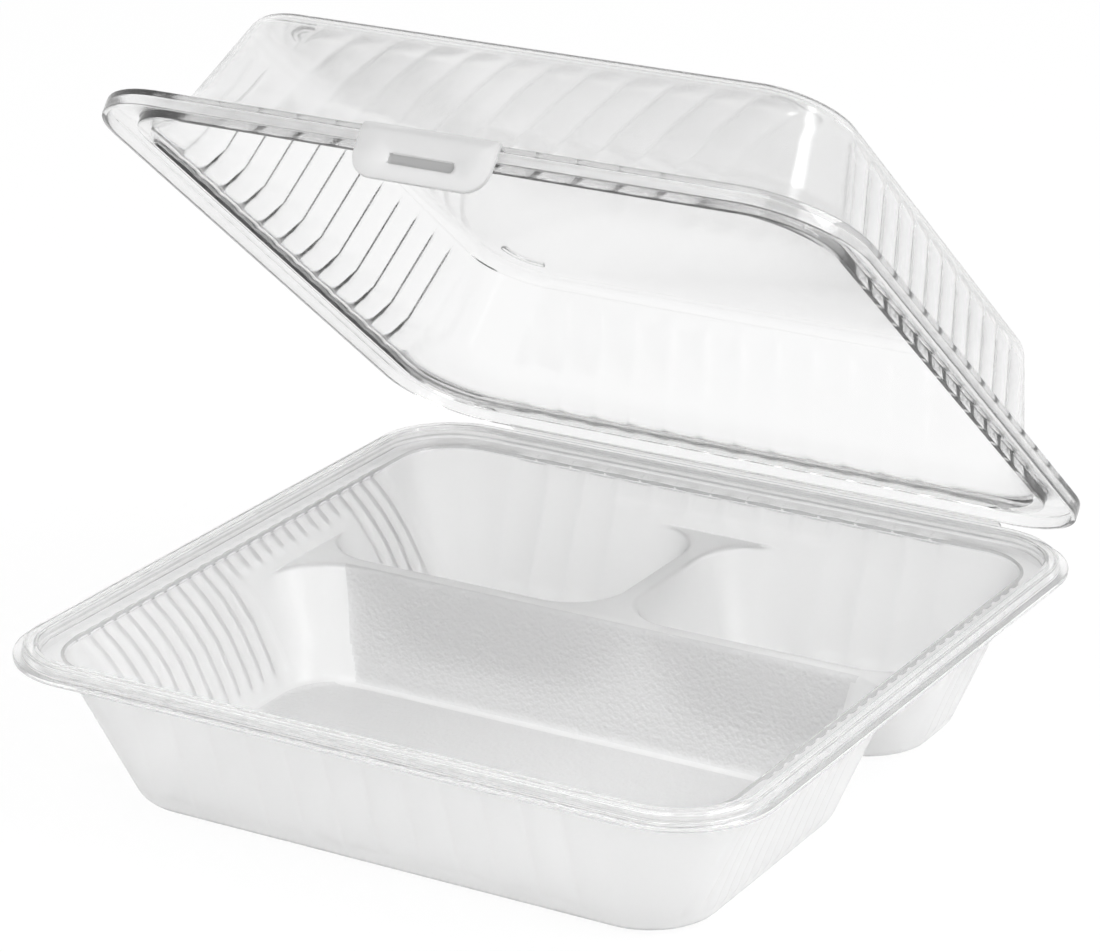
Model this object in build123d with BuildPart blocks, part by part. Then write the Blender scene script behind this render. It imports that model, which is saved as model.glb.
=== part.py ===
"""Reusable three-compartment meal container: tray, domed lid and the living hinge between them.

Millimetres. +X runs along the hinge, +Y points to the hinge side and +Z up from the table.
The lid is modelled shut and then swung open about the hinge.
"""
import os
from math import atan, cos, sqrt

from build123d import *

# Whole container
overall = 228.6  # plan size over the flange, the same both ways
closed_height = 88.0
wall = 1.5
open_angle = 39.0
parting_gap = 0.3

# Tray rim, from its edge inwards
flange_top = 45.2
rim_corner = 27.5
flange_reach = 2.6
bead_width = 4.5
bead_rise = 2.8
bead_round = 1.6
ledge_width = 5.4
ledge_drop = 1.0

# Tray compartments, measured on their inside
tray_taper = 14.9
tray_corner = 18.0
tray_floor_round = 3.5
deck_drop = 11.2
ridge_width = 6.0
ridge_centre = 25.3
ridge_bevel = 1.0
ridge_bevel_drop = 1.6
floor_panel_rise = 0.6
floor_panel_inset = 7.0
floor_panel_corner = 10.0

# Flutes in the walls
flute_pitch = 12.0
flute_depth = 1.2
flute_mouth_gap = 1.4
flute_fade_round = 10.0
flute_tip_gap = 1.0
stub_length = 8.0
stub_round = 3.0
lid_flute_pitch = 12.0
lid_flute_depth = 1.2

# Lid
lid_edge_inset = 0.3
lid_rim_round = 0.8
lid_bead_clearance = 0.7
lid_lip_clearance = 2.1
lid_mouth_clearance = 1.6
lid_mouth_corner = 18.6
dome_inset = 5.0
dome_corner = 19.5
dome_taper = 9.1
dome_top_round = 3.0
lug_inset = 19.7
lug_radius = 9.5
lug_sweep = 80.0
lug_width = 2.6
lug_height = 0.9

# Latch tab
tab_width = 41.0
tab_reach = 10.2
tab_corner = 7.0
catch_length = 20.0
catch_width = 3.2
catch_depth = 0.8
catch_clearance = 0.3
catch_drop = 1.1

# Living hinge
hinge_end_gap = 4.8
hinge_reach = 2.7
hinge_thickness = 0.5
hinge_fold_radius = 0.5

# Tray places that follow from the sizes above
flange_half = overall / 2
bead_half = flange_half - flange_reach
bead_inner_half = bead_half - bead_width
bead_inner_corner = rim_corner - flange_reach - bead_width
bead_top = flange_top + bead_rise
core_half = bead_half - wall
core_inner_half = bead_inner_half + wall
ledge_top = flange_top - ledge_drop
deck_top = ledge_top - deck_drop
tray_mouth_half = bead_inner_half - ledge_width
tray_foot_half = tray_mouth_half - tray_taper
tray_slope = tray_taper / (ledge_top - wall)
tray_skew = 1 / cos(atan(tray_slope))
deck_half = tray_foot_half + (deck_top - wall) * tray_slope
ridge_front = ridge_centre - ridge_width / 2
ridge_rear = ridge_centre + ridge_width / 2
panel_half = tray_foot_half - floor_panel_inset
panel_front = -panel_half
panel_rear = ridge_front - (deck_top - wall) * tray_slope - floor_panel_inset
tray_scallop = (flute_pitch, flute_depth)

# Lid places that follow from the sizes above
lid_half = flange_half - lid_edge_inset
lid_bottom = flange_top + parting_gap
lid_ceiling = bead_top + lid_bead_clearance
lid_rim_top = lid_ceiling + wall
lid_lip_bottom = ledge_top + lid_lip_clearance
lid_mouth_half = tray_mouth_half + lid_mouth_clearance
lid_lip_half = lid_mouth_half + wall
dome_half = lid_mouth_half - dome_inset
dome_top_half = dome_half - dome_taper
dome_slope = dome_taper / (closed_height - wall - lid_ceiling)
dome_skew = 1 / cos(atan(dome_slope))
lid_scallop = (lid_flute_pitch, lid_flute_depth)
tab_gap = lid_edge_inset + catch_depth + catch_clearance
tab_inner = lid_half + tab_gap
tab_bottom = flange_top - tab_reach
catch_height = flange_top - wall - catch_drop - catch_width / 2

hinge_length = overall - 2 * (rim_corner + hinge_end_gap)
hinge_y = flange_half + hinge_reach
hinge_z = (flange_top + lid_bottom) / 2
hinge_axis = Axis((0, hinge_y, hinge_z), (-1, 0, 0))

# Each compartment at deck level: x from, x to, y from, y to
# and after it which of these edges lie on a ridge, with the way the ridge lies
main_bowl = (-deck_half, deck_half, -deck_half, ridge_front)
left_bowl = (-deck_half, -ridge_width / 2, ridge_rear, deck_half)
right_bowl = (ridge_width / 2, deck_half, ridge_rear, deck_half)
bowls = ((main_bowl, (0, 0, 0, 1)), (left_bowl, (0, 1, -1, 0)), (right_bowl, (-1, 0, -1, 0)))

# Flutes of each outer wall, by its turn from the front wall
flat_inset = tray_corner + flute_pitch
flat_half = tray_mouth_half - tray_corner
side_flats = ((-flat_half, ridge_front - flat_inset), (ridge_rear + flat_inset, flat_half))
rear_flats = ((-flat_half, -ridge_width / 2 - flat_inset), (ridge_width / 2 + flat_inset, flat_half))
left_flats = [(-end, -start) for start, end in side_flats]
wall_flats = {0: ((-flat_half, flat_half),), 90: side_flats, 180: rear_flats, 270: left_flats}
flutes_a_side = int(flat_half / flute_pitch)
flutes = [(number + 0.5) * flute_pitch for number in range(-flutes_a_side, flutes_a_side)]
lid_flutes_a_side = int((dome_half - dome_corner) / lid_flute_pitch)
lid_flutes = [(number + 0.5) * lid_flute_pitch for number in range(-lid_flutes_a_side, lid_flutes_a_side)]
long_rows = {
    turn: [place for place in flutes if any(start <= place <= end for start, end in flats)]
    for turn, flats in wall_flats.items()
}
stub_rows = {
    turn: [place for place in flutes if place not in long_rows[turn]]
    for turn in wall_flats if long_rows[turn] != flutes
}


def rounded_section(spans, z, corner):
    """A rounded rectangle over the given spans, lying at height z."""
    x0, x1, y0, y1 = spans
    with BuildSketch(Plane.XY.offset(z), mode=Mode.PRIVATE) as section:
        with Locations(((x0 + x1) / 2, (y0 + y1) / 2)):
            RectangleRounded(x1 - x0, y1 - y0, corner)
    return section.sketch


def grown(spans, amount):
    x0, x1, y0, y1 = spans
    return (x0 - amount, x1 + amount, y0 - amount, y1 + amount)


def square(half):
    return (-half, half, -half, half)


def tray_section(spans, z, skin):
    """A compartment's outline at height z, with its skin moved outwards from the inside face."""
    taper = (deck_top - z) * tray_slope
    return rounded_section(grown(spans, skin * tray_skew - taper), z, tray_corner + skin)


def bowl_block(spans, ridge_sides, skin, bevel):
    """One compartment from its rounded floor up to the deck, with the ridge edges bevelled off."""
    floor, deck = wall - skin, deck_top - skin
    neck = deck - ridge_bevel_drop
    flared = [edge + bevel * side for edge, side in zip(spans, ridge_sides)]
    with BuildPart() as block:
        loft([tray_section(spans, floor, skin), tray_section(spans, neck, skin)], ruled=True)
        fillet(block.edges().group_by(Axis.Z)[0], tray_floor_round + skin)
        loft([tray_section(spans, neck, skin), tray_section(flared, deck, skin)], ruled=True)
    return block.part


def mouth_block(skin, bottom, top):
    """The part of the tray's hollow that spans all compartments."""
    full = square(deck_half)
    with BuildPart() as block:
        loft([tray_section(full, bottom, skin), tray_section(full, top, skin)], ruled=True)
    return block.part


def dome_section(z, skin):
    half = dome_half - (z - lid_ceiling) * dome_slope
    return rounded_section(square(half + skin * dome_skew), z, dome_corner + skin)


def dome_block(skin, bottom, top, top_round):
    with BuildPart() as block:
        loft([dome_section(bottom, skin), dome_section(top, skin)], ruled=True)
        fillet(block.edges().group_by(Axis.Z)[-1], top_round)
    return block.part


def flute_row(half, z, slope, skin, places, scallop, mouth, tip, tip_round):
    """Scalloped bar along a front wall whose inside face has the given half size at height z.

    It starts squarely at the mouth and fades into the wall towards its rounded tip.
    """
    pitch, depth = scallop
    radius = (pitch / 2) ** 2 / (2 * depth) + depth / 2
    skew = 1 / cos(atan(slope))
    inset = (radius - depth) * skew
    cover = half + (skin + 2 * depth) * skew
    tip_y, mouth_y = (-cover - (end - z) * slope for end in (tip, mouth))
    with BuildPart() as bar:
        with BuildSketch(Plane(origin=(0, inset - half, z), x_dir=(1, 0, 0), z_dir=(0, -slope, 1))):
            with Locations(*[(place, 0) for place in places]):
                Circle(radius + skin)
        extrude(amount=2 * closed_height, both=True)
        with BuildSketch(Plane.YZ) as reach:
            with BuildLine():
                Polyline((tip_y, tip), (mouth_y, mouth), (-half / 2, mouth), (-half / 2, tip), close=True)
            make_face()
            fillet(reach.vertices().sort_by_distance((tip_y, tip))[0], tip_round)
        extrude(amount=overall / 2, both=True, mode=Mode.INTERSECT)
    return bar.part


def tray_form(skin, bevel, flute_top, top):
    """The tray's hollow: skin 0 gives its inside face, skin equal to the wall its outside."""
    blocks = [bowl_block(spans, sides, skin, bevel) for spans, sides in bowls]
    blocks.append(mouth_block(skin, deck_top - skin, top))
    long_tip = wall - skin + flute_tip_gap
    stub_tip = ledge_top - stub_length - skin
    for rows, tip, tip_round in (
        (long_rows, long_tip, flute_fade_round + skin),
        (stub_rows, stub_tip, stub_round),
    ):
        for turn, places in rows.items():
            bar = flute_row(
                tray_mouth_half, ledge_top, tray_slope, skin, places, tray_scallop,
                flute_top, tip, tip_round,
            )
            blocks.append(Rot(0, 0, turn) * bar)
    with BuildPart() as form:
        add(blocks)
    return form.part


def dome_form(skin, bottom):
    """The lid's hollow: skin 0 gives its inside face, skin equal to the wall its outside."""
    top = closed_height - wall + skin
    bar = flute_row(
        dome_half, lid_ceiling, -dome_slope, skin, lid_flutes, lid_scallop,
        bottom, top - flute_tip_gap, flute_fade_round + skin,
    )
    with BuildPart() as form:
        add(dome_block(skin, bottom, top, dome_top_round + skin))
        add([Rot(0, 0, turn) * bar for turn in wall_flats])
    return form.part


tray_outside = tray_form(wall, 0, ledge_top - wall / 2, ledge_top - wall / 2)
tray_inside = tray_form(0, ridge_bevel, ledge_top - flute_mouth_gap, ledge_top)
lid_outside = dome_form(wall, lid_rim_top - wall / 2)
lid_inside = dome_form(0, lid_ceiling)

with BuildPart() as base_tray:
    with BuildSketch(Plane.XY.offset(flange_top - wall)):
        RectangleRounded(overall, overall, rim_corner)
    extrude(amount=wall)
    with BuildSketch(Plane.XY.offset(ledge_top - wall)):
        RectangleRounded(2 * bead_half, 2 * bead_half, rim_corner - flange_reach)
    extrude(amount=bead_top - ledge_top + wall)
    with BuildSketch(Plane.XY.offset(ledge_top)):
        RectangleRounded(2 * bead_inner_half, 2 * bead_inner_half, bead_inner_corner)
    extrude(amount=closed_height, mode=Mode.SUBTRACT)
    fillet(base_tray.edges().group_by(Axis.Z)[-1], bead_round)
    add(tray_outside)
    add(tray_inside, mode=Mode.SUBTRACT)
    with BuildSketch(Plane.XY.offset(ledge_top - wall)):
        RectangleRounded(2 * core_half, 2 * core_half, bead_inner_corner + bead_width - wall)
        RectangleRounded(
            2 * core_inner_half, 2 * core_inner_half, bead_inner_corner + wall, mode=Mode.SUBTRACT
        )
    extrude(amount=bead_top - ledge_top, mode=Mode.SUBTRACT)
    with BuildSketch(Plane.XY.offset(wall / 2)):
        with Locations((0, (panel_rear + panel_front) / 2)):
            RectangleRounded(2 * panel_half, panel_rear - panel_front, floor_panel_corner)
    extrude(amount=wall / 2 + floor_panel_rise)

with BuildPart() as closed_lid:
    with BuildSketch(Plane.XY.offset(lid_bottom)):
        RectangleRounded(2 * lid_half, 2 * lid_half, rim_corner - lid_edge_inset)
    extrude(amount=lid_rim_top - lid_bottom)
    fillet(closed_lid.edges().group_by(Axis.Z)[-1], lid_rim_round)
    with BuildSketch(Plane.XY.offset(lid_bottom)):
        RectangleRounded(2 * (lid_half - wall), 2 * (lid_half - wall), rim_corner - lid_edge_inset - wall)
    extrude(amount=lid_ceiling - lid_bottom, mode=Mode.SUBTRACT)
    with BuildSketch(Plane.XY.offset(lid_lip_bottom)):
        RectangleRounded(2 * lid_lip_half, 2 * lid_lip_half, lid_mouth_corner + wall)
        RectangleRounded(2 * lid_mouth_half, 2 * lid_mouth_half, lid_mouth_corner, mode=Mode.SUBTRACT)
    extrude(amount=lid_ceiling - lid_lip_bottom)
    add(lid_outside)
    add(lid_inside, mode=Mode.SUBTRACT)
    # Crescent lugs at the corners of the top panel
    with BuildSketch(Plane.XY.offset(closed_height)):
        with PolarLocations((dome_top_half - lug_inset) * sqrt(2), 4, start_angle=45):
            SlotArc(CenterArc((0, 0), lug_radius, -lug_sweep / 2, lug_sweep), lug_width)
    extrude(amount=lug_height)
    # Latch tab, joined to the skirt along its upper part
    with BuildSketch(Plane.XZ.offset(tab_inner)) as tab_face:
        with Locations((0, (tab_bottom + lid_rim_top) / 2)):
            Rectangle(tab_width, lid_rim_top - tab_bottom)
        fillet(tab_face.vertices().group_by(Axis.Y)[0], tab_corner)
    extrude(amount=wall)
    with BuildSketch(Plane.XZ.offset(lid_half - wall / 2)):
        with Locations((0, (lid_ceiling + lid_rim_top - lid_rim_round) / 2)):
            Rectangle(tab_width, lid_rim_top - lid_rim_round - lid_ceiling)
    extrude(amount=wall / 2 + tab_gap + wall / 2)
    with BuildSketch(Plane.XZ.offset(tab_inner)):
        with Locations((0, catch_height)):
            SlotOverall(catch_length, catch_width)
    extrude(amount=-catch_depth)
    with BuildSketch(Plane.XZ.offset(tab_inner + wall)):
        with Locations((0, catch_height)):
            SlotOverall(catch_length, catch_width)
    extrude(amount=-catch_depth, mode=Mode.SUBTRACT)

with BuildPart() as lid:
    add(closed_lid.part.rotate(hinge_axis, open_angle))

with BuildPart() as living_hinge:
    with BuildSketch(Plane.YZ):
        with BuildLine() as fold:
            Line((flange_half, hinge_z - hinge_fold_radius), (hinge_y, hinge_z - hinge_fold_radius))
            bend = CenterArc((hinge_y, hinge_z), hinge_fold_radius, -90, 180 - open_angle)
            PolarLine(bend @ 1, hinge_y - lid_half, 180 - open_angle)
        trace(line_width=hinge_thickness)
    extrude(amount=hinge_length / 2, both=True)

base_tray.part.label = "base_tray"
lid.part.label = "lid"
living_hinge.part.label = "living_hinge"

os.makedirs("parts", exist_ok=True)
export_step(base_tray.part, "parts/base_tray.step")
export_step(lid.part, "parts/lid.step")
export_step(living_hinge.part, "parts/living_hinge.step")
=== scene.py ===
"""Looks of the hinged meal container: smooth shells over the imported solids, plastic, stage and camera.

Shapes are worked out in millimetres, in the part's frame, and turned into metres when a mesh is made.
"""
from math import atan, cos, floor, pi, radians, sin, sqrt

import bmesh
import bpy
from mathutils import Matrix, Vector


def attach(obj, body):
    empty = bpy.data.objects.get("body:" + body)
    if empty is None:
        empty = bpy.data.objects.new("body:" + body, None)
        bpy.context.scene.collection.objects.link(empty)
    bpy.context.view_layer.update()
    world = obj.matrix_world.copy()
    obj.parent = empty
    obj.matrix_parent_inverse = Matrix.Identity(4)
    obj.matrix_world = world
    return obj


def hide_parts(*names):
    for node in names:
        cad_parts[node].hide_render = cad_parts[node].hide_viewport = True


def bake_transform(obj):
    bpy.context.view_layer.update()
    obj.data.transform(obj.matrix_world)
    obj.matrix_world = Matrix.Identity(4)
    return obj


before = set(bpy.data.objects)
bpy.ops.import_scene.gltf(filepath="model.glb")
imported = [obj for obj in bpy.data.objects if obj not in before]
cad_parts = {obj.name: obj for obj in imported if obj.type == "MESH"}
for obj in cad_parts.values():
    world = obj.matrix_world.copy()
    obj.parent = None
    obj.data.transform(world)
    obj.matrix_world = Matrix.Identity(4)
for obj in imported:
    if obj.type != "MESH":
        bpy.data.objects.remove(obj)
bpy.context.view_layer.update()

MM = 0.001
WALL = 1.5

# Tray sizes
RIM_CENTRE = 86.8
TRAY_FOOT, TRAY_MOUTH, TRAY_R, FLOOR_R = 86.9, 101.8, 18.0, 3.5
LEDGE_Z, DECK_Z = 44.2, 33.0
FLANGE, FLANGE_Z = 114.3, 45.2
BEAD_OUT, BEAD_IN, BEAD_Z = 111.7, 107.2, 48.0
RIDGE_FRONT, RIDGE_REAR, RIDGE_HALF = 22.3, 28.3, 3.0
RIDGE_ROUND, RIDGE_DROP = 1.0, 1.6
TRAY_SLOPE = (TRAY_MOUTH - TRAY_FOOT) / (LEDGE_Z - WALL)
TRAY_TILT = atan(TRAY_SLOPE)
DECK_HALF = TRAY_FOOT + (DECK_Z - WALL) * TRAY_SLOPE

# Lid sizes, shut
LID_HALF, LID_BOTTOM, LID_RIM_Z, LID_TOP = 114.0, 45.5, 50.2, 88.0
LIP_Z, LID_CEILING, LID_MOUTH, LID_MOUTH_R = 46.3, 48.7, 103.4, 18.6
DOME_FOOT, DOME_TOP, DOME_R, DOME_ROUND = 98.4, 89.3, 19.5, 3.0
DOME_SLOPE = (DOME_FOOT - DOME_TOP) / (LID_TOP - WALL - LID_CEILING)
DOME_TILT = atan(DOME_SLOPE)
HINGE_Y, HINGE_Z, OPEN = 117.0, 45.35, radians(39)

# Flutes: pitch, depth and row end on the tray's front and rear, on its end walls and on the lid
FLUTE_END = 78.0
LONG_WALL, END_WALL = (12.0, 0.9, 72.0), (6.0, 0.7, FLUTE_END)
TRAY_FLUTES = (LONG_WALL, END_WALL, LONG_WALL, END_WALL)
LID_PITCH, LID_DEPTHS, LID_FLUTE_END = 12.0, (0.8, 1.3, 0.5, 0.7), 72.0
LID_INNER_SHARE = 0.6
CORNER_STEPS = 22

# Lean of the flutes along their walls: slope, curve and reach in height
FLUTE_TOP = 43.0
TRAY_LEAN, TRAY_CURVE_UP, TRAY_CURVE_DOWN, TRAY_LEAN_REACH = 0.5, 0.01, 0.0111, 22.0
LID_LEAN_START, LID_LEAN, LID_CURVE, LID_LEAN_REACH, LID_REAR_LEAN = 50.0, 0.1, 0.0085, 33.0, 0.5

# Levels of the rings up the tray's wall, and how far the flutes have grown near their ends
OUTER_LEVELS = (34.0, 34.8, 35.6, 36.4, 37.2, 40.0)
INNER_LEVELS = (38.4, 37.6, 36.8, 36.0, 35.2)
FLUTE_TOP_FADE = ((42.85, 0.3), (42.7, 0.75), (42.5, 1.0), (39.0, 1.0))
STUB_FADE = (35.6, 38.6)
BOWL_LEVELS = (24.0, 12.0, 9.0, 8.2, 7.4, 6.6, 5.8, 5.0)
FLOOR_FADE = (4.6, 8.8)

# Step of the front floor's panel: inset, level and corner radius of each ring
PANEL_RINGS = ((6.6, WALL, 8.2), (7.0, WALL + 0.25, 7.4), (7.4, WALL + 0.6, 6.6))

# Lid wall: half width, level and share of the flutes at its flared foot, then its levels and fade
OUTER_FLARE = ((105.2, 50.25, 0.0), (103.6, 50.7, 0.5), (101.9, 51.9, 1.0), (100.2, 54.0, 1.0))
INNER_FLARE = ((103.2, 46.6, 0.0), (102.7, 47.1, 0.5), (100.6, 49.2, 1.0), (98.3, 52.6, 1.0))
DOME_LEVELS = (57.0, 61.0, 65.0, 69.0, 73.0)
DOME_FADE, DOME_FADE_LENGTH, DOME_FADE_STEP = 78.0, 5.2, 0.9
ROUND_STRETCH = 1.2


def smooth(low, high, value):
    t = min(max((value - low) / (high - low), 0.0), 1.0)
    return t * t * (3 - 2 * t)


def scallop(p, skin, pitch, depth):
    """How far a flute stands out of its wall at distance p along the wall."""
    q = p - pitch * (floor(p / pitch) + 0.5)
    r = (pitch / 2) ** 2 / (2 * depth) + depth / 2 + skin
    return sqrt(r * r - q * q) - (r - depth)


def span_list(low, high, step):
    count = max(1, round((high - low) / step))
    return [low + (high - low) * i / count for i in range(count + 1)]


def outline(spans, r, stops, shifts=(0.0, 0.0, 0.0, 0.0)):
    """Points round a rounded rectangle as (x, y, nx, ny, side, place along the side).

    stops lists, for the front, right, rear and left sides, the places of points along each side,
    counted in the walking direction, and shifts moves the points of a side along it. Corner points
    have no side.
    """
    x0, x1, y0, y1 = spans
    centres = ((x1 - r, y0 + r), (x1 - r, y1 - r), (x0 + r, y1 - r), (x0 + r, y0 + r))
    starts = (x0 + r, y0 + r, r - x1, r - y1)
    ends = (x1 - r, y1 - r, -x0 - r, -y0 - r)
    quarter = r * pi / 2

    def at(corner, s):
        cx, cy = centres[corner % 4]
        arc = min(max(s, 0.0), quarter)
        a = (corner - 1) * pi / 2 + arc / r
        nx, ny = cos(a), sin(a)
        return cx + r * nx - (s - arc) * ny, cy + r * ny + (s - arc) * nx, nx, ny

    points = []
    for side in range(4):
        for p in stops[side]:
            place = p + shifts[side]
            if place >= (starts[side] + ends[side]) / 2:
                spot = at(side, place - ends[side])
            else:
                spot = at(side - 1, quarter + place - starts[side])
            points.append((*spot, side, p))
        following = (side + 1) % 4
        s0 = stops[side][-1] + shifts[side] - ends[side]
        s1 = quarter + stops[following][0] + shifts[following] - starts[following]
        for i in range(1, CORNER_STEPS + 1):
            points.append((*at(side, s0 + (s1 - s0) * i / (CORNER_STEPS + 1)), None, 0.0))
    return points


def square(half):
    return (-half, half, -half, half)


def rounded_profile(corners, steps=3):
    """Stations along a profile whose corners are (values..., rounding length)."""
    stations = []
    for i, corner in enumerate(corners):
        here = Vector(corner[:-1])
        if not corner[-1] or i in (0, len(corners) - 1):
            stations.append(tuple(here))
            continue
        ways = [Vector(corners[j][:-1]) - here for j in (i - 1, i + 1)]
        start, end = (here + way * (corner[-1] / Vector(way[:2]).length) for way in ways)
        for k in range(steps + 1):
            t = k / steps
            stations.append(tuple(start * (1 - t) ** 2 + here * (2 * t * (1 - t)) + end * t * t))
    return stations


class Shell:
    """Collects rings of points and the faces between them."""

    def __init__(self):
        self.points, self.faces = [], []

    def ring(self, points):
        first = len(self.points)
        self.points.extend(points)
        return list(range(first, first + len(points)))

    def bridge(self, a, b):
        for i in range(len(a)):
            j = (i + 1) % len(a)
            self.faces.append((a[i], a[j], b[j], b[i]))

    def cap(self, ring):
        self.faces.append(tuple(ring))

    def stack(self, rings):
        rings = [self.ring(points) for points in rings]
        for a, b in zip(rings, rings[1:]):
            self.bridge(a, b)
        return rings

    def build(self, name, turn=None, sharp=32):
        mesh = bpy.data.meshes.new(name)
        points = [turn(p) for p in self.points] if turn else self.points
        mesh.from_pydata([tuple(c * MM for c in p) for p in points], [], self.faces)
        bm = bmesh.new()
        bm.from_mesh(mesh)
        bmesh.ops.remove_doubles(bm, verts=bm.verts, dist=1e-7)
        bmesh.ops.dissolve_degenerate(bm, edges=bm.edges, dist=1e-7)
        bmesh.ops.recalc_face_normals(bm, faces=bm.faces)
        for face in bm.faces:
            face.smooth = True
        for edge in bm.edges:
            edge.smooth = len(edge.link_faces) == 2 and edge.calc_face_angle(0.0) < radians(sharp)
        bm.to_mesh(mesh)
        bm.free()
        piece = bpy.data.objects.new(name, mesh)
        bpy.context.collection.objects.link(piece)
        return piece


def opened(point):
    """A point of the shut lid, swung open about the hinge."""
    x, y, z = point
    dy, dz = y - HINGE_Y, z - HINGE_Z
    return x, HINGE_Y + dy * cos(OPEN) + dz * sin(OPEN), HINGE_Z - dy * sin(OPEN) + dz * cos(OPEN)


def shut(point):
    """A point of the open lid, swung back shut."""
    x, y, z = point
    dy, dz = y - HINGE_Y, z - HINGE_Z
    return x, HINGE_Y + dy * cos(OPEN) - dz * sin(OPEN), HINGE_Z + dy * sin(OPEN) + dz * cos(OPEN)


# Tray: places of points along the walls
RIM_STOPS = [span_list(-FLUTE_END, FLUTE_END, 1.0)] * 4
MAIN_END, REAR_START, BACK_START = 4.0, 47.0, 21.0
LONG_SIDE = ((-FLUTE_END, -6.0), (54.0, FLUTE_END))
LONG_BACK = ((-FLUTE_END, -36.0), (36.0, FLUTE_END))
LONG_FLUTES = (
    ((-FLUTE_END, FLUTE_END),), LONG_SIDE, LONG_BACK, tuple((-b, -a) for a, b in LONG_SIDE)
)


def tray_half(z, skin):
    return TRAY_FOOT + (z - WALL) * TRAY_SLOPE + skin / cos(TRAY_TILT)


def tray_lean(z):
    """How far the flutes of each side have moved along it at height z: those of the end walls lean."""
    d = max(min(z, FLUTE_TOP) - DECK_Z, -TRAY_LEAN_REACH)
    move = d * (TRAY_LEAN + (TRAY_CURVE_UP if d > 0 else TRAY_CURVE_DOWN) * d)
    return 0.0, move, 0.0, move


def tray_point(spot, z, skin, long_part, stub_part):
    """A point of the tray's wall, moved out by its share of the flute there."""
    x, y, nx, ny, side, p = spot
    if side is None or abs(p) > TRAY_FLUTES[side][2]:
        return x, y, z
    is_long = any(a <= p <= b for a, b in LONG_FLUTES[side])
    out = scallop(p, skin, *TRAY_FLUTES[side][:2]) * (long_part if is_long else stub_part)
    return x + nx * out * cos(TRAY_TILT), y + ny * out * cos(TRAY_TILT), z - out * sin(TRAY_TILT)


def stub_amount(z, skin):
    return smooth(*STUB_FADE, z + skin)


def tray_rim():
    """Stations (half, z, corner radius, long flutes, stub flutes, skin) from deck to deck over the rim."""
    stations = []
    for z in (DECK_Z - WALL, *OUTER_LEVELS, LEDGE_Z - WALL):
        stations.append((tray_half(z, WALL), z, TRAY_R + WALL, 1.0, stub_amount(z, WALL), WALL))

    def ring(half, z, rounding):
        return half, z, half - RIM_CENTRE, rounding

    under = LEDGE_Z - WALL
    core = BEAD_Z - WALL
    edge = [
        (stations[-1][0] + 1.3, under, stations[-1][2] + 0.5, 0),
        ring(BEAD_IN + WALL, under, 0.2), ring(BEAD_IN + WALL, core, 0.3),
        ring(BEAD_OUT - WALL, core, 0.3), ring(BEAD_OUT - WALL, under, 0.2),
        ring(BEAD_OUT, under, 0.2), ring(BEAD_OUT, FLANGE_Z - WALL, 0.2),
        ring(FLANGE, FLANGE_Z - WALL, 0.4), ring(FLANGE, FLANGE_Z, 0.4),
        ring(BEAD_OUT, FLANGE_Z, 0.4), ring(BEAD_OUT, BEAD_Z, 1.6),
        ring(BEAD_IN, BEAD_Z, 1.6), ring(BEAD_IN, LEDGE_Z, 0.6),
        (TRAY_MOUTH, LEDGE_Z, TRAY_R, 0.25), (tray_half(FLUTE_TOP, 0), FLUTE_TOP, TRAY_R, 0),
    ]
    stations.extend((half, z, r, 0.0, 0.0, 0.0) for half, z, r in rounded_profile(edge))
    for z, amount in FLUTE_TOP_FADE:
        stations.append((tray_half(z, 0), z, TRAY_R, amount, amount, 0.0))
    for z in (*INNER_LEVELS, DECK_Z):
        stations.append((tray_half(z, 0), z, TRAY_R, 1.0, stub_amount(z, 0), 0.0))
    return stations


# Which of the spans x0, x1, y0 and y1 the front, right, rear and left sides lie on
SPAN_OF_SIDE = (2, 1, 3, 0)


def compartments():
    """Each compartment's spans at deck level, sides on a ridge, and places of points along its sides."""
    across = span_list(-FLUTE_END, FLUTE_END, 1.0)
    ridge = span_list(-72.0, 72.0, 6.0)
    main = (
        (-DECK_HALF, DECK_HALF, -DECK_HALF, RIDGE_FRONT), (0, 0, 0, 1),
        (across, span_list(-FLUTE_END, MAIN_END, 1.0), ridge, span_list(-MAIN_END, FLUTE_END, 1.0)),
    )
    inner, outer = span_list(24.0, 72.0, 6.0), span_list(BACK_START, FLUTE_END, 1.0)
    deep, back = span_list(48.0, 72.0, 6.0), span_list(REAR_START, FLUTE_END, 1.0)

    def mirrored(values):
        return [-v for v in reversed(values)]

    right = (
        (RIDGE_HALF, DECK_HALF, RIDGE_REAR, DECK_HALF), (-1, 0, -1, 0),
        (inner, back, mirrored(outer), mirrored(deep)),
    )
    left = (
        (-DECK_HALF, -RIDGE_HALF, RIDGE_REAR, DECK_HALF), (0, 1, -1, 0),
        (mirrored(inner), deep, outer, mirrored(back)),
    )
    return main, right, left


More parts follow.
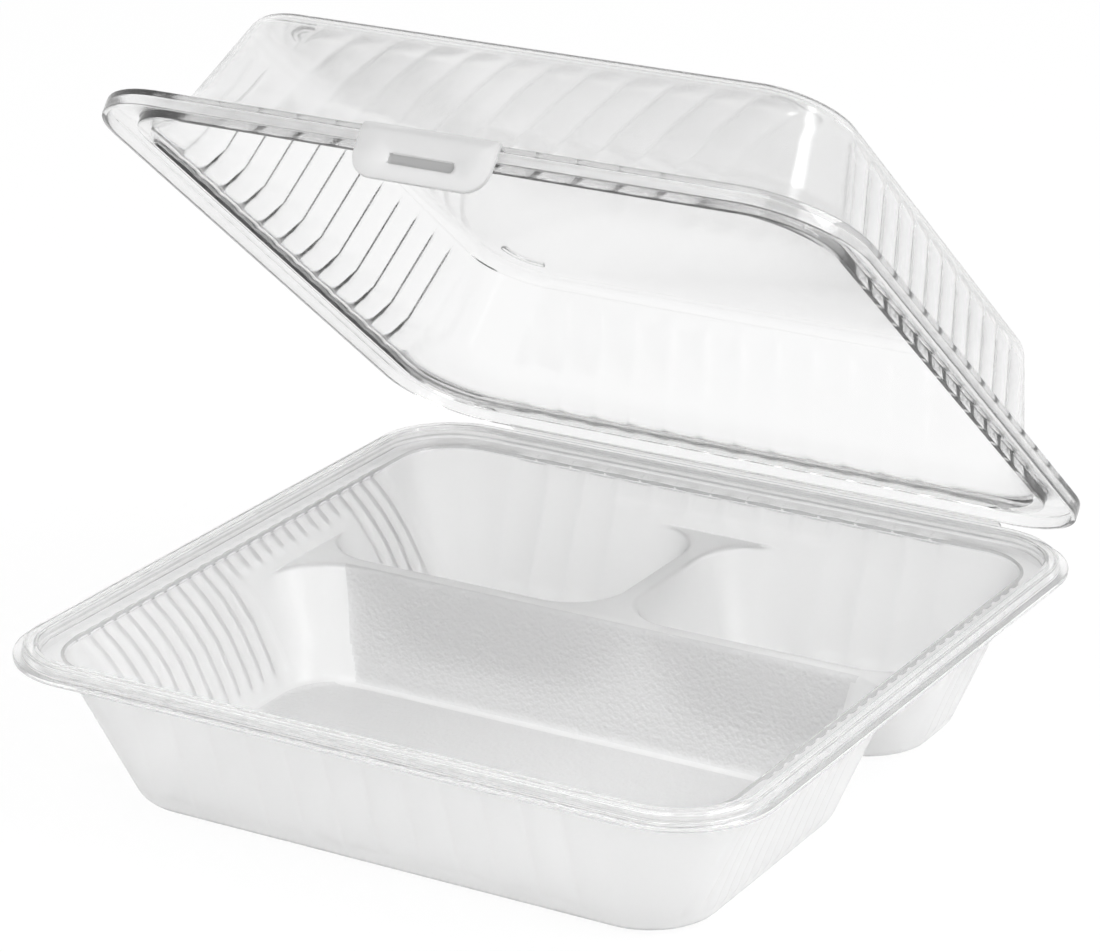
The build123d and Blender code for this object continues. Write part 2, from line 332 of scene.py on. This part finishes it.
def bowl_rings(spans, ridge_sides, stops, skin):
    """Rings of one compartment from the deck down to the edge of its flat floor."""
    bottom, deck = WALL - skin, DECK_Z - skin
    floor_round = (FLOOR_R + skin) * cos(TRAY_TILT) / (1 + sin(TRAY_TILT))
    stations = []
    if skin:
        stations.append((deck, 0.0))
    else:
        for k in range(5):
            a = k / 4 * pi / 2
            stations.append((deck - RIDGE_DROP * (1 - cos(a)), RIDGE_ROUND * (1 - sin(a))))
    stations += [(z - skin, 0.0) for z in BOWL_LEVELS]
    rings = []
    for z, flare in stations:
        grow = skin / cos(TRAY_TILT) - (DECK_Z - z) * TRAY_SLOPE
        walls = [v + grow * w + flare * s for v, w, s in zip(spans, (-1, 1, -1, 1), ridge_sides)]
        amount = smooth(*(level - skin for level in FLOOR_FADE), z)
        ring = []
        for spot in outline(walls, TRAY_R + skin, stops, tray_lean(z + skin)):
            on_ridge = spot[4] is not None and ridge_sides[SPAN_OF_SIDE[spot[4]]]
            ring.append(tray_point(spot, z, skin, 0.0 if on_ridge else amount, 0.0))
        rings.append(ring)
    grow = skin / cos(TRAY_TILT) - (DECK_Z - bottom) * TRAY_SLOPE
    rise = floor_round * cos(TRAY_TILT)
    for k in range(9):
        t = k / 8
        z = bottom + rise * (1 - t) ** 2
        inset = -floor_round * sin(TRAY_TILT) * (1 - t) ** 2 + floor_round * t * t
        walls = [v + (grow - inset) * w for v, w in zip(spans, (-1, 1, -1, 1))]
        r = TRAY_R + skin - max(inset, 0.0)
        rings.append([(x, y, z) for x, y, *_ in outline(walls, r, stops, tray_lean(0.0))])
    return rings


def make_tray():
    shell = Shell()
    rim = tray_rim()
    rings = shell.stack([
        [tray_point(spot, z, skin, long_part, stub)
         for spot in outline(square(half), r, RIM_STOPS, tray_lean(z + skin if long_part else LEDGE_Z))]
        for half, z, r, long_part, stub, skin in rim
    ])
    for skin, mouth in ((WALL, rings[0]), (0.0, rings[-1])):
        at = {tuple(round(c, 4) for c in shell.points[i]): i for i in mouth}
        paths = []
        for spans, ridge_sides, stops in compartments():
            points = bowl_rings(spans, ridge_sides, stops, skin)
            top = []
            own = []
            for point in points[0]:
                key = tuple(round(c, 4) for c in point)
                if key not in at:
                    own.extend(shell.ring([point]))
                    top.append(own[-1])
                else:
                    top.append(at[key])
            lower = shell.stack(points[1:])
            shell.bridge(top, lower[0])
            if not skin and ridge_sides == (0, 0, 0, 1):
                for inset, z, r in PANEL_RINGS:
                    shift = (DECK_Z - WALL) * TRAY_SLOPE + inset
                    walls = [v - w * shift for v, w in zip(spans, (-1, 1, -1, 1))]
                    lower.append(shell.ring([(x, y, z) for x, y, *_ in outline(walls, r, stops)]))
                    shell.bridge(lower[-2], lower[-1])
            shell.cap(lower[-1])
            paths.append((top, set(own)))
        deck_edges(shell, mouth, paths)
    return shell


def deck_edges(shell, mouth, paths):
    """Fills the flat deck between the tray's wall and the compartments."""
    after = {}
    shared = set()
    for top, own in paths:
        for i, a in enumerate(top):
            b = top[(i + 1) % len(top)]
            if a in own or b in own:
                after[b] = a
            else:
                shared.add((a, b))
    for i, a in enumerate(mouth):
        b = mouth[(i + 1) % len(mouth)]
        if (a, b) not in shared:
            after[a] = b
    start = next(iter(after))
    loop = [start]
    while after[loop[-1]] != start:
        loop.append(after[loop[-1]])
    shell.cap(loop)


def dome_half(z, skin):
    return DOME_FOOT - (z - LID_CEILING) * DOME_SLOPE + skin / cos(DOME_TILT)


def dome_wall(skin, flare, top):
    """Stations (half, z, corner radius, flutes, skin) of a dome wall from flared foot to panel."""
    round_reach = ROUND_STRETCH * (DOME_ROUND + skin) * (1 - sin(DOME_TILT)) / cos(DOME_TILT)
    fade = DOME_FADE + 0.6 * skin
    stations = [(half, z, half - dome_half(z, skin) + DOME_R + skin, part, skin) for half, z, part in flare]
    for z in (*DOME_LEVELS, *(fade + DOME_FADE_STEP * i for i in range(7))):
        amount = 1 - smooth(fade, fade + DOME_FADE_LENGTH, z)
        stations.append((dome_half(z, skin), z, DOME_R + skin, amount, skin))
    for k in range(9):
        t = k / 8
        a, b = (1 - t) ** 2, t * t
        half = dome_half(top, skin) + round_reach * (a * sin(DOME_TILT) - b)
        z = top - round_reach * a * cos(DOME_TILT)
        stations.append((half, z, DOME_R + skin - round_reach * b, 0.0, skin))
    return stations


def lid_lean(z):
    """How far the flutes of each side have moved along it at height z: front and rear ones bend."""
    d = min(max(z - LID_LEAN_START, 0.0), LID_LEAN_REACH)
    move = d * (LID_LEAN + LID_CURVE * d)
    return move, 0.0, LID_REAR_LEAN * move, 0.0


def make_lid():
    def ring(half, z, rounding):
        return half, z, half - RIM_CENTRE, rounding

    lip, lip_r = LID_MOUTH + WALL, LID_MOUTH_R + WALL
    edge = [
        (106.4, LID_RIM_Z, 20.6, 0),
        ring(LID_HALF, LID_RIM_Z, 0.8), ring(LID_HALF, LID_BOTTOM, 0.3),
        ring(LID_HALF - WALL, LID_BOTTOM, 0.3), ring(LID_HALF - WALL, LID_CEILING, 0.5),
        (lip, LID_CEILING, lip_r, 0.4), (lip, LIP_Z, lip_r, 0.3), (LID_MOUTH, LIP_Z, LID_MOUTH_R, 0),
    ]
    stations = list(reversed(dome_wall(WALL, OUTER_FLARE, LID_TOP)))
    stations += [(half, z, r, 0.0, 0.0) for half, z, r in rounded_profile(edge)]
    stations += dome_wall(0.0, INNER_FLARE, LID_TOP - WALL)
    stops = [span_list(-LID_FLUTE_END, LID_FLUTE_END, 1.0)] * 4
    shell = Shell()
    rings = []
    for half, z, r, amount, skin in stations:
        share = amount if skin else LID_INNER_SHARE * amount
        points = []
        for x, y, nx, ny, side, p in outline(square(half), r, stops, lid_lean(z)):
            out = 0.0 if side is None else scallop(p, skin, LID_PITCH, LID_DEPTHS[side]) * share
            level = out * cos(DOME_TILT)
            points.append((x + nx * level, y + ny * level, z + out * sin(DOME_TILT)))
        rings.append(points)
    rings = shell.stack(rings)
    shell.cap(rings[0])
    shell.cap(rings[-1])
    return shell


def make_tab():
    """The latch tab with its catch, pressed in from the front, and the bar that joins it to the lid.

    Each form is its x and z limits and its lower and upper corner radius.
    """
    tab, catch = (-20.5, 20.5, 35.0, 50.2, 7.0, 1.2), (-10.0, 10.0, 39.4, 42.6, 1.59, 1.59)
    bar = (-20.2, 20.2, 48.7, 49.4, 0.3, 0.3)

    def ring(form, inset, y):
        x0, x1, z0, z1, low_r, high_r = form
        points = []
        for start, r, x, z in (
            (-90, low_r, x1 - low_r, z0 + low_r), (0, high_r, x1 - high_r, z1 - high_r),
            (90, high_r, x0 + high_r, z1 - high_r), (180, low_r, x0 + low_r, z0 + low_r),
        ):
            for i in range(13):
                a = radians(start + 7.5 * i)
                points.append((x + (r - inset) * cos(a), -y, z + (r - inset) * sin(a)))
        return points

    shell = Shell()
    rings = shell.stack([
        ring(catch, 1.1, 116.1), ring(catch, 0.7, 116.15), ring(catch, 0.25, 116.4),
        ring(catch, 0.0, 116.8), ring(catch, -0.3, 116.9),
        ring(tab, 0.5, 116.9), ring(tab, 0.15, 116.75), ring(tab, 0.0, 116.4),
        ring(tab, 0.0, 115.9), ring(tab, 0.15, 115.55), ring(tab, 0.5, 115.4),
        ring(catch, -0.3, 115.4), ring(catch, 0.0, 115.3), ring(catch, 0.25, 114.9),
        ring(catch, 0.7, 114.65), ring(catch, 1.1, 114.6),
    ])
    shell.cap(rings[0])
    shell.cap(rings[-1])
    rings = shell.stack([ring(bar, 0.0, y) for y in (113.25, 114.5, 116.15)])
    shell.cap(rings[0])
    shell.cap(rings[-1])
    return shell


def make_lugs():
    """Crescent lugs at the corners of the lid's top panel."""
    shell = Shell()
    middle, radius, sweep, half_width = 69.6, 9.5, radians(40), 1.3
    for corner in range(4):
        heading = pi / 4 + corner * pi / 2
        cx, cy = middle * sqrt(2) * cos(heading), middle * sqrt(2) * sin(heading)

        def ring(inset, z):
            points = []
            w = half_width - inset
            for i in range(17):
                a = heading - sweep + 2 * sweep * i / 16
                points.append((cx + (radius + w) * cos(a), cy + (radius + w) * sin(a), z))
            for i in range(1, 8):
                a, t = heading + sweep, i * pi / 8
                r, out = radius + w * cos(t), w * sin(t)
                points.append((cx + r * cos(a) - out * sin(a), cy + r * sin(a) + out * cos(a), z))
            for i in range(17):
                a = heading + sweep - 2 * sweep * i / 16
                points.append((cx + (radius - w) * cos(a), cy + (radius - w) * sin(a), z))
            for i in range(1, 8):
                a, t = heading - sweep, i * pi / 8
                r, out = radius - w * cos(t), w * sin(t)
                points.append((cx + r * cos(a) + out * sin(a), cy + r * sin(a) - out * cos(a), z))
            return points

        rings = shell.stack([
            ring(0.0, 87.7), ring(0.0, 88.2), ring(0.1, 88.5), ring(0.4, 88.8), ring(0.8, 88.9)
        ])
        shell.cap(rings[0])
        shell.cap(rings[-1])
    return shell


def make_hinge():
    """The thin web, as a strip that follows the fold from the tray's flange to the lid's skirt."""
    fold = 0.5
    path = [(FLANGE - 0.3, HINGE_Z - fold, 0.0, -1.0)]
    path += [(FLANGE + (HINGE_Y - FLANGE) * i / 6, HINGE_Z - fold, 0.0, -1.0) for i in range(6)]
    turn = pi - OPEN
    for i in range(17):
        a = -pi / 2 + turn * i / 16
        path.append((HINGE_Y + fold * cos(a), HINGE_Z + fold * sin(a), cos(a), sin(a)))
    y, z, ny, nz = path[-1]
    for i in range(1, 7):
        step = (HINGE_Y - LID_HALF) * i / 6
        path.append((y - step * cos(OPEN), z + step * sin(OPEN), ny, nz))
    shell = Shell()
    half, thick = 82.0, 0.25
    rings = shell.stack([
        [(x * half, y + side * ny * thick, z + side * nz * thick)
         for x, side in ((-1, -1), (1, -1), (1, 1), (-1, 1))]
        for y, z, ny, nz in path
    ])
    shell.cap(rings[0])
    shell.cap(rings[-1])
    return shell


tray = make_tray().build("tray_shell")
lid = make_lid().build("lid_shell", opened)
tab = make_tab().build("latch_tab", opened)
lugs = make_lugs().build("corner_lugs", opened)
hinge = make_hinge().build("hinge_web")
for piece, body, slot in (
    (tray, "base", "tray_plastic"), (lid, "lid", "lid_plastic"),
    (tab, "lid", "lid_plastic"), (lugs, "lid", "lid_plastic"),
):
    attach(piece, body)
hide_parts("base_tray")
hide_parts("lid")
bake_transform(hinge)
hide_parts("living_hinge")


def node(tree, kind, **values):
    made = tree.nodes.new(kind)
    for name, value in values.items():
        if hasattr(made, name):
            setattr(made, name, value)
        else:
            made.inputs[name.replace("_", " ")].default_value = value
    return made


# Plastic: refraction, and the broad cloud that varies the roughness
PLASTIC_IOR, CLOUD_SCALE, CLOUD_LOW, CLOUD_HIGH = 1.49, 12.0, 0.35, 0.65


def plastic(name, color, transmission, roughness, grain, relief, absorb=0.0):
    """Moulded plastic; roughness is a range, grain a count per metre and relief its height in metres."""
    material = bpy.data.materials.new(name)
    material.use_nodes = True
    tree = material.node_tree
    shader = tree.nodes["Principled BSDF"]
    for socket, value in (
        ("Base Color", (color, color, color, 1.0)), ("Transmission Weight", transmission),
        ("IOR", PLASTIC_IOR),
    ):
        shader.inputs[socket].default_value = value
    where = node(tree, "ShaderNodeTexCoord")
    cloud = node(tree, "ShaderNodeTexNoise", Scale=CLOUD_SCALE, Detail=0.0)
    speck = node(tree, "ShaderNodeTexNoise", Scale=grain, Detail=1.0, Roughness=0.5)
    rough = node(
        tree, "ShaderNodeMapRange", From_Min=CLOUD_LOW, From_Max=CLOUD_HIGH,
        To_Min=roughness[0], To_Max=roughness[1],
    )
    bump = node(tree, "ShaderNodeBump", Strength=1.0, Distance=relief)
    tree.links.new(where.outputs["Object"], cloud.inputs["Vector"])
    tree.links.new(where.outputs["Object"], speck.inputs["Vector"])
    tree.links.new(cloud.outputs["Fac"], rough.inputs["Value"])
    tree.links.new(rough.outputs["Result"], shader.inputs["Roughness"])
    tree.links.new(speck.outputs["Fac"], bump.inputs["Height"])
    tree.links.new(bump.outputs["Normal"], shader.inputs["Normal"])
    if absorb:
        volume = node(tree, "ShaderNodeVolumeAbsorption", Color=(0.5, 0.5, 0.5, 1.0), Density=absorb)
        tree.links.new(volume.outputs["Volume"], tree.nodes["Material Output"].inputs["Volume"])
    return material


# Colour, transmission, roughness, grain and relief; the lid also has the density of its absorption
tray_plastic = plastic("tray_plastic", 1.0, 0.6, (0.285, 0.32), 90.0, 0.00001)
rim_plastic = plastic("rim_plastic", 1.0, 0.85, (0.1, 0.14), 90.0, 0.00001)
# The stipple plastic has a real fine grain, and its darker colour is painted shade on the ridge face and
# the front floor
stipple_and_shade_plastic = plastic("stipple_and_shade_plastic", 0.85, 0.55, (0.36, 0.42), 800.0, 0.0003)
lid_plastic = plastic("lid_plastic", 1.0, 0.98, (0.09, 0.13), 90.0, 0.000006, 35.0)
tab_plastic = plastic("tab_plastic", 0.8, 0.55, (0.32, 0.38), 300.0, 0.000004)
# The catch plastic's dark colour is painted shade of the recessed catch
catch_painted_shade_plastic = plastic("catch_painted_shade_plastic", 0.42, 0.5, (0.4, 0.44), 300.0, 0.000004)
for piece, *materials in (
    (tray, tray_plastic, rim_plastic, stipple_and_shade_plastic), (hinge, rim_plastic), (lid, lid_plastic),
    (tab, tab_plastic, catch_painted_shade_plastic), (lugs, lid_plastic),
):
    for material in materials:
        piece.data.materials.append(material)

RIM_SLOT, STIPPLE_SHADE_SLOT = 1, 2


def stippled_and_shaded(x, y, z):
    """Whether a point is on the front compartment's floor or on the ridge behind it, whose faces take the
    stipple plastic with its painted shade.
    """
    on_ridge = 2.0 < z < 33.5 and y > 9.0 + 0.3 * z and y < 25.0 and abs(x) < 72.0 + 0.35 * z
    return on_ridge or (1.0 < z < 2.2 and y < 8.0)


# Faces above the ledge take the rim plastic; the ridge and front floor take the stipple plastic, whose
# darker colour is painted shade
for face in tray.data.polygons:
    x, y, z = face.center / MM
    if z > LEDGE_Z - WALL + 0.1:
        face.material_index = RIM_SLOT
    elif stippled_and_shaded(x, y, z):
        face.material_index = STIPPLE_SHADE_SLOT
# Faces of the recessed catch take the dark catch plastic: painted shade
for face in tab.data.polygons:
    x, y, z = shut(face.center / MM)
    face.material_index = int(abs(x) < 9.6 and 39.6 < z < 42.4)

# Camera at the photograph's place
AZIMUTH, ELEVATION, DISTANCE, FOCAL_PX = radians(30.31), radians(20.45), 1212.7, 4258.0
AIM = Vector((-24.65, 34.14, 65.60))
FRAME_W, FRAME_H = 1100, 952
CENTRE_PX = (538.9, 482.6)
SENSOR_MM, CLIP_END = 36.0, 20.0


def make_camera():
    back = Vector((sin(AZIMUTH) * cos(ELEVATION), -cos(AZIMUTH) * cos(ELEVATION), sin(ELEVATION)))
    right = Vector((cos(AZIMUTH), sin(AZIMUTH), 0.0))
    up = back.cross(right)
    data = bpy.data.cameras.new("camera")
    data.sensor_width = SENSOR_MM
    data.lens = data.sensor_width * FOCAL_PX / FRAME_W
    data.shift_x = (FRAME_W / 2 - CENTRE_PX[0]) / FRAME_W
    data.shift_y = (CENTRE_PX[1] - FRAME_H / 2) / FRAME_W
    data.clip_end = CLIP_END
    camera = bpy.data.objects.new("camera", data)
    turn = Matrix((right, up, back)).transposed().to_4x4()
    camera.matrix_world = Matrix.Translation((AIM + back * DISTANCE) * MM) @ turn
    bpy.context.collection.objects.link(camera)
    bpy.context.scene.camera = camera


make_camera()
scene = bpy.context.scene
scene.view_settings.view_transform = "Standard"
scene.cycles.max_bounces = 14
scene.cycles.transmission_bounces = 14
scene.cycles.glossy_bounces = 6
scene.cycles.use_light_tree = False
scene.cycles.use_denoising = True


def make_world():
    """White all round up to above the horizon, grey overhead, and plain white behind the object."""
    world = bpy.data.worlds.new("studio")
    world.use_nodes = True
    scene.world = world
    world.cycles.sampling_method = "NONE"
    tree = world.node_tree
    sky = tree.nodes["Background"]
    where = node(tree, "ShaderNodeTexCoord")
    split = node(tree, "ShaderNodeSeparateXYZ")
    ramp = node(tree, "ShaderNodeMapRange", From_Min=0.4, From_Max=0.85, To_Min=1.0, To_Max=0.48)
    ramp.interpolation_type = "SMOOTHSTEP"
    path = node(tree, "ShaderNodeLightPath")
    seen = node(tree, "ShaderNodeMath", operation="MAXIMUM")
    tree.links.new(where.outputs["Generated"], split.inputs["Vector"])
    tree.links.new(split.outputs["Z"], ramp.inputs["Value"])
    tree.links.new(ramp.outputs["Result"], seen.inputs[0])
    tree.links.new(path.outputs["Is Camera Ray"], seen.inputs[1])
    tree.links.new(seen.outputs["Value"], sky.inputs["Strength"])
    sky.inputs["Color"].default_value = (1.0, 1.0, 1.0, 1.0)


# Floor: half width and drop under the tray in metres, and how much of what is seen of it is plain white
FLOOR_REACH, FLOOR_DROP, FLOOR_WHITE = 4.0, 0.0002, 0.93


def make_floor():
    """A white floor that keeps a little of the object's shadow."""
    mesh = bpy.data.meshes.new("floor")
    reach = FLOOR_REACH
    mesh.from_pydata([(-reach, -reach, 0), (reach, -reach, 0), (reach, reach, 0), (-reach, reach, 0)], [],
                     [(0, 1, 2, 3)])
    ground = bpy.data.objects.new("floor", mesh)
    ground.location.z = -FLOOR_DROP
    bpy.context.collection.objects.link(ground)
    material = bpy.data.materials.new("floor_white")
    material.use_nodes = True
    tree = material.node_tree
    tree.nodes.remove(tree.nodes["Principled BSDF"])
    matte = node(tree, "ShaderNodeBsdfDiffuse", Color=(0.9, 0.9, 0.9, 1.0))
    glow = node(tree, "ShaderNodeEmission", Color=(1.0, 1.0, 1.0, 1.0), Strength=1.0)
    path = node(tree, "ShaderNodeLightPath")
    any_seen = node(tree, "ShaderNodeMath", operation="MAXIMUM")
    seen = node(tree, "ShaderNodeMath", operation="MAXIMUM")
    share = node(tree, "ShaderNodeMath", operation="MULTIPLY")
    share.inputs[1].default_value = FLOOR_WHITE
    mix = node(tree, "ShaderNodeMixShader")
    tree.links.new(path.outputs["Is Camera Ray"], any_seen.inputs[0])
    tree.links.new(path.outputs["Is Glossy Ray"], any_seen.inputs[1])
    tree.links.new(any_seen.outputs["Value"], seen.inputs[0])
    tree.links.new(path.outputs["Is Transmission Ray"], seen.inputs[1])
    tree.links.new(seen.outputs["Value"], share.inputs[0])
    tree.links.new(share.outputs["Value"], mix.inputs["Fac"])
    tree.links.new(matte.outputs["BSDF"], mix.inputs[1])
    tree.links.new(glow.outputs["Emission"], mix.inputs[2])
    tree.links.new(mix.outputs["Shader"], tree.nodes["Material Output"].inputs["Surface"])
    mesh.materials.append(material)


# Lamps: name, place, width and height in metres, and power in watts
LAMPS = (
    ("strip", (1.31, -0.77, 0.40), 0.16, 1.0, 0.4),
    ("fill", (-0.25, -1.0, 1.35), 1.0, 1.0, 10.5),
    ("top", (1.25, 0.15, 1.15), 1.0, 1.0, 22.0),
)


def make_lights():
    for name, spot, width, height, power in LAMPS:
        lamp = bpy.data.lights.new(name, "AREA")
        lamp.shape = "RECTANGLE"
        lamp.size, lamp.size_y, lamp.energy = width, height, power
        light = bpy.data.objects.new(name, lamp)
        light.location = spot
        light.rotation_euler = (-Vector(spot)).to_track_quat("-Z", "Y").to_euler()
        bpy.context.collection.objects.link(light)


make_world()
make_floor()
make_lights()
